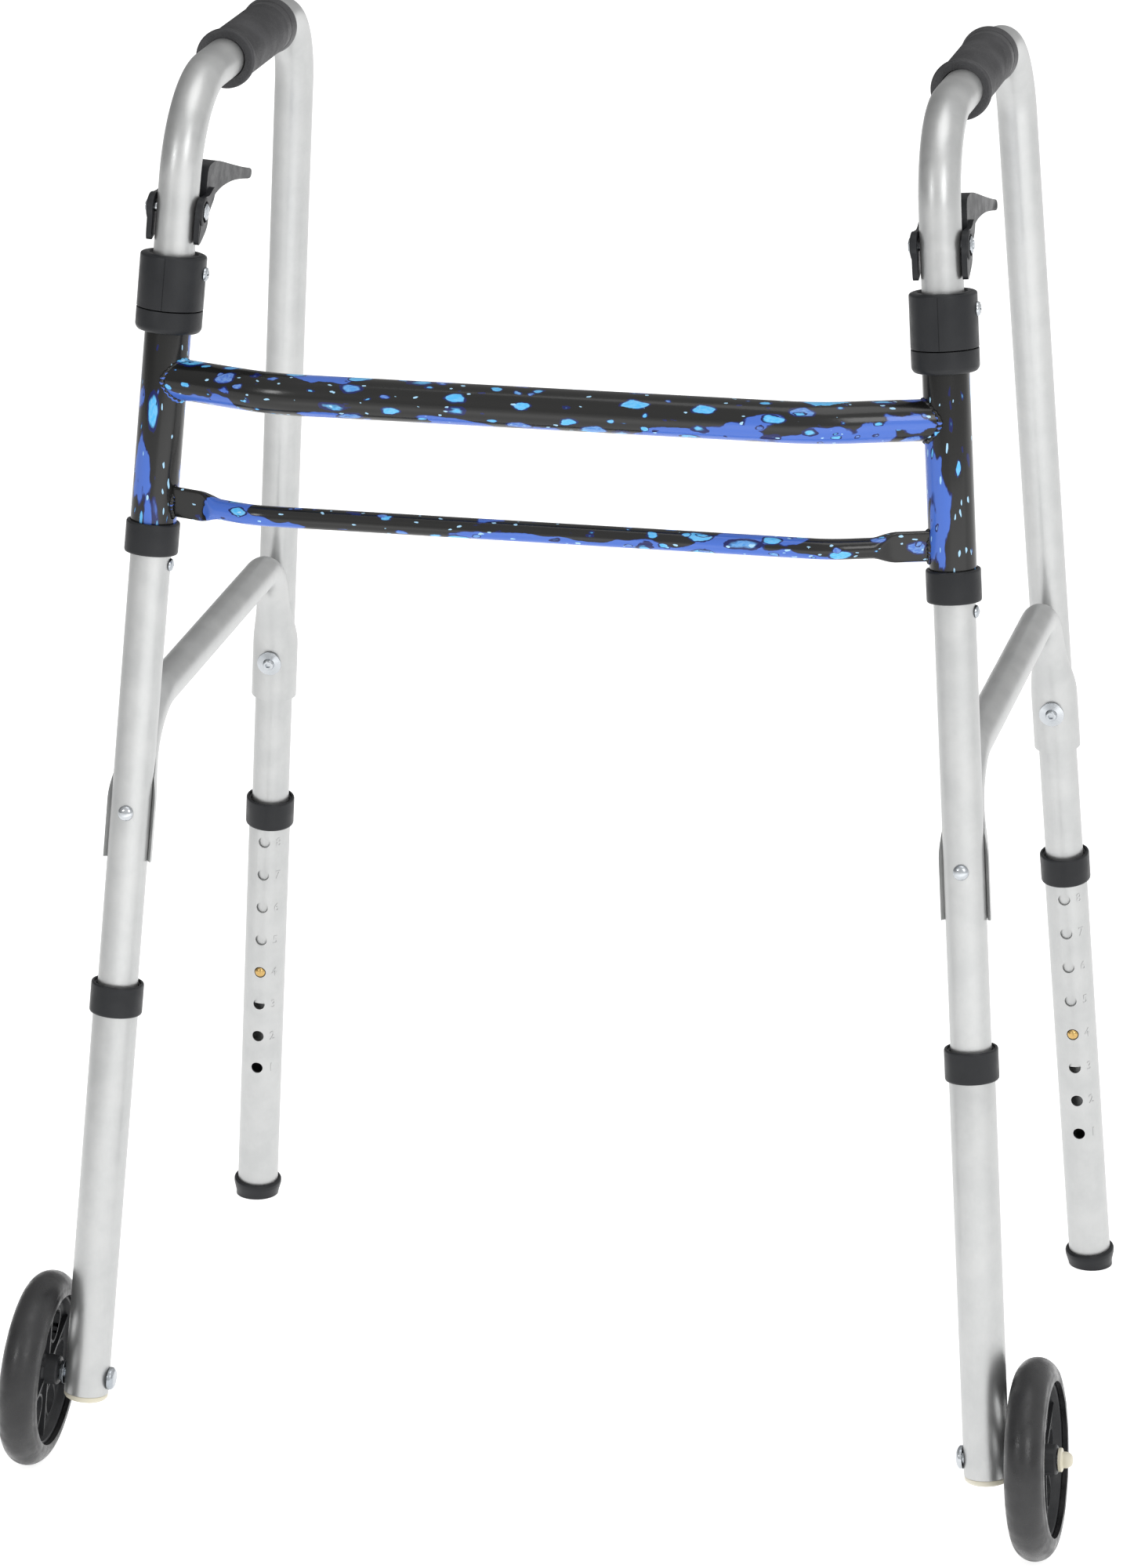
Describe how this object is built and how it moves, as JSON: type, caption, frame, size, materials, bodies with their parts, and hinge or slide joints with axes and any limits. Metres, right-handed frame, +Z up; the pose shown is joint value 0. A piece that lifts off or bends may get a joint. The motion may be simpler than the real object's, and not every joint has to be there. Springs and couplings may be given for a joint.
{
  "type": "folding walking frame",
  "caption": "Folding walking frame of bent tube with bowed crossbars, hinged side frames, hand grips, height-set legs, front wheels and rear glides.",
  "frame": {"origin": "on the floor, at the middle of the frame's footprint", "axes": "+Z up, +X to the user's left, +Y towards the user behind the frame, so -Y is the way it is pushed"},
  "size_m": [0.6896, 0.5323, 0.902],
  "materials": {
    "satin_aluminium": "satin anodised, faint lengthwise drawing lines",
    "splatter_paint": "glossy black with a royal-blue drip pattern",
    "black_plastic": "moulded, softly glossy",
    "rubber_tyre": "matt rubber",
    "zinc_steel": "bright zinc plated",
    "brass_button": "polished",
    "white_nylon": "cream-white nylon",
    "vinyl_grip": "fine-textured vinyl"
  },
  "bodies": {
    "crossbar_frame": {"upper_crossbar": "splatter_paint", "lower_crossbar": "splatter_paint", "left_pivot_sleeve": "splatter_paint", "left_lower_hub_collar": "black_plastic", "left_sleeve_end_collar": "black_plastic", "right_pivot_sleeve": "splatter_paint", "right_lower_hub_collar": "black_plastic", "right_sleeve_end_collar": "black_plastic"},
    "left_side_frame": {"left_side_tube": "satin_aluminium", "left_side_brace": "satin_aluminium", "left_brace_front_bolt": "zinc_steel", "left_brace_rear_screw": "zinc_steel", "left_hand_grip": "vinyl_grip", "left_hub_housing": "black_plastic", "left_hub_screw": "zinc_steel", "left_sleeve_stop_rivet": "zinc_steel", "left_lever_pivot_bolt": "zinc_steel", "left_lock_spring": "zinc_steel"},
    "left_lever": {"left_release_lever": "black_plastic"},
    "left_lock": {"left_lock_pin": "zinc_steel"},
    "left_rear_leg": {"left_rear_leg_tube": "satin_aluminium", "left_rear_leg_collar": "black_plastic", "left_rear_foot": "black_plastic"},
    "left_rear_button": {"left_rear_snap_button": "brass_button"},
    "left_front_leg": {"left_front_leg_tube": "satin_aluminium", "left_front_leg_collar": "black_plastic", "left_front_leg_plug": "white_nylon", "left_axle_bolt": "zinc_steel", "left_axle_inner_nut": "zinc_steel", "left_axle_cap_nut": "white_nylon"},
    "left_front_button": {"left_front_snap_button": "brass_button"},
    "left_wheel": {"left_tyre": "rubber_tyre", "left_wheel_hub": "black_plastic"},
    "right_side_frame": {"right_side_tube": "satin_aluminium", "right_side_brace": "satin_aluminium", "right_brace_front_bolt": "zinc_steel", "right_brace_rear_screw": "zinc_steel", "right_hand_grip": "vinyl_grip", "right_hub_housing": "black_plastic", "right_hub_screw": "zinc_steel", "right_sleeve_stop_rivet": "zinc_steel", "right_lever_pivot_bolt": "zinc_steel", "right_lock_spring": "zinc_steel"},
    "right_lever": {"right_release_lever": "black_plastic"},
    "right_lock": {"right_lock_pin": "zinc_steel"},
    "right_rear_leg": {"right_rear_leg_tube": "satin_aluminium", "right_rear_leg_collar": "black_plastic", "right_rear_foot": "black_plastic"},
    "right_rear_button": {"right_rear_snap_button": "brass_button"},
    "right_front_leg": {"right_front_leg_tube": "satin_aluminium", "right_front_leg_collar": "black_plastic", "right_front_leg_plug": "white_nylon", "right_axle_bolt": "zinc_steel", "right_axle_inner_nut": "zinc_steel", "right_axle_cap_nut": "white_nylon"},
    "right_front_button": {"right_front_snap_button": "brass_button"},
    "right_wheel": {"right_tyre": "rubber_tyre", "right_wheel_hub": "black_plastic"}
  },
  "joints": [
    {"name": "left_side_fold", "type": "hinge", "parent": "crossbar_frame", "child": "left_side_frame", "pos_m": [0.2448, -0.14075, 0.67472], "axis": [-0.0741, 0.0999, 0.9922], "range_deg": [0, 88]},
    {"name": "left_lever_press", "type": "hinge", "parent": "left_side_frame", "child": "left_lever", "pos_m": [0.23471, -0.12716, 0.80966], "axis": [-0.997, 0.0146, -0.0759], "range_deg": [0, 12], "stiffness_Nm_per_rad": 0.8, "springref_deg": -8.59},
    {"name": "left_lock_lift", "type": "slide", "parent": "left_side_frame", "child": "left_lock", "axis": [-0.0741, 0.0999, 0.9922], "range_m": [0, 0.006], "deforming": ["left_lock_spring"]},
    {"name": "left_rear_leg_height", "type": "slide", "parent": "left_side_frame", "child": "left_rear_leg", "axis": [0.0747, 0.097, -0.9925], "range_m": [-0.0762, 0.1016], "deforming": ["left_rear_snap_button"]},
    {"name": "left_rear_button_press", "type": "slide", "parent": "left_side_frame", "child": "left_rear_button", "axis": [0.0071, 0.9952, 0.0978], "range_m": [0, 0.0035], "stiffness_N_per_m": 400, "springref_m": -0.003},
    {"name": "left_front_leg_height", "type": "slide", "parent": "left_side_frame", "child": "left_front_leg", "axis": [0.0741, -0.0999, -0.9922], "range_m": [-0.0762, 0.1016], "deforming": ["left_front_snap_button"]},
    {"name": "left_front_button_press", "type": "slide", "parent": "left_side_frame", "child": "left_front_button", "axis": [-0.022, -0.9949, 0.0985], "range_m": [0, 0.0035], "stiffness_N_per_m": 400, "springref_m": -0.003},
    {"name": "left_wheel_spin", "type": "hinge", "parent": "left_front_leg", "child": "left_wheel", "pos_m": [0.32208, -0.20305, 0.06302], "axis": [0.997, -0.0146, 0.0759], "continuous": true},
    {"name": "right_side_fold", "type": "hinge", "parent": "crossbar_frame", "child": "right_side_frame", "pos_m": [-0.2448, -0.14075, 0.67472], "axis": [-0.0741, -0.0999, -0.9922], "range_deg": [0, 74]},
    {"name": "right_lever_press", "type": "hinge", "parent": "right_side_frame", "child": "right_lever", "pos_m": [-0.23471, -0.12716, 0.80966], "axis": [-0.997, -0.0146, 0.0759], "range_deg": [0, 12], "stiffness_Nm_per_rad": 0.8, "springref_deg": -8.59},
    {"name": "right_lock_lift", "type": "slide", "parent": "right_side_frame", "child": "right_lock", "axis": [0.0741, 0.0999, 0.9922], "range_m": [0, 0.006], "deforming": ["right_lock_spring"]},
    {"name": "right_rear_leg_height", "type": "slide", "parent": "right_side_frame", "child": "right_rear_leg", "axis": [-0.0747, 0.097, -0.9925], "range_m": [-0.0762, 0.1016], "deforming": ["right_rear_snap_button"]},
    {"name": "right_rear_button_press", "type": "slide", "parent": "right_side_frame", "child": "right_rear_button", "axis": [-0.0071, 0.9952, 0.0978], "range_m": [0, 0.0035], "stiffness_N_per_m": 400, "springref_m": -0.003},
    {"name": "right_front_leg_height", "type": "slide", "parent": "right_side_frame", "child": "right_front_leg", "axis": [-0.0741, -0.0999, -0.9922], "range_m": [-0.0762, 0.1016], "deforming": ["right_front_snap_button"]},
    {"name": "right_front_button_press", "type": "slide", "parent": "right_side_frame", "child": "right_front_button", "axis": [0.022, -0.9949, 0.0985], "range_m": [0, 0.0035], "stiffness_N_per_m": 400, "springref_m": -0.003},
    {"name": "right_wheel_spin", "type": "hinge", "parent": "right_front_leg", "child": "right_wheel", "pos_m": [-0.32208, -0.20305, 0.06302], "axis": [0.997, 0.0146, -0.0759], "continuous": true}
  ],
  "couplings": [
    {"joint": "left_lock_lift", "follows": "left_lever_press", "m_per_rad": 0.02864},
    {"joint": "right_lock_lift", "follows": "right_lever_press", "m_per_rad": 0.02864}
  ]
}
